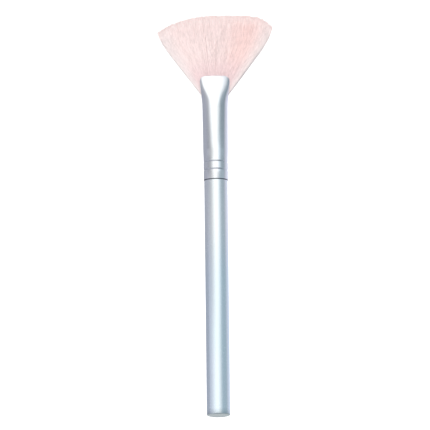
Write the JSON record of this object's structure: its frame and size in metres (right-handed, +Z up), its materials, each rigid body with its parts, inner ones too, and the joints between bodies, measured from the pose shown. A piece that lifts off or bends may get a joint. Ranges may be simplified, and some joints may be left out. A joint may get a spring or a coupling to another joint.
{
  "type": "fan makeup brush",
  "caption": "Fan makeup brush: slim straight lacquered handle, aluminium ferrule pressed flat at its mouth, and a wide flat fan of soft hair.",
  "frame": {"origin": "on the surface the brush lies on, under the middle of its length and width", "axes": "+Y along the brush towards the hair tips, +Z up through the flat of the fan, +X across the fan"},
  "size_m": [0.0477, 0.168, 0.0102],
  "materials": {
    "handle_lacquer": "pearly silver-blue lacquer on turned wood, satin gloss",
    "ferrule_metal": "bright satin drawn aluminium, faintly lilac",
    "adhesive": "cured clear amber adhesive, hidden inside the ferrule",
    "hair": "fine pale pink hair with a soft matte sheen"
  },
  "bodies": {
    "root": {"handle": "handle_lacquer", "ferrule": "ferrule_metal", "glue_plug": "adhesive", "hair_bundle": "hair"}
  },
  "joints": []
}
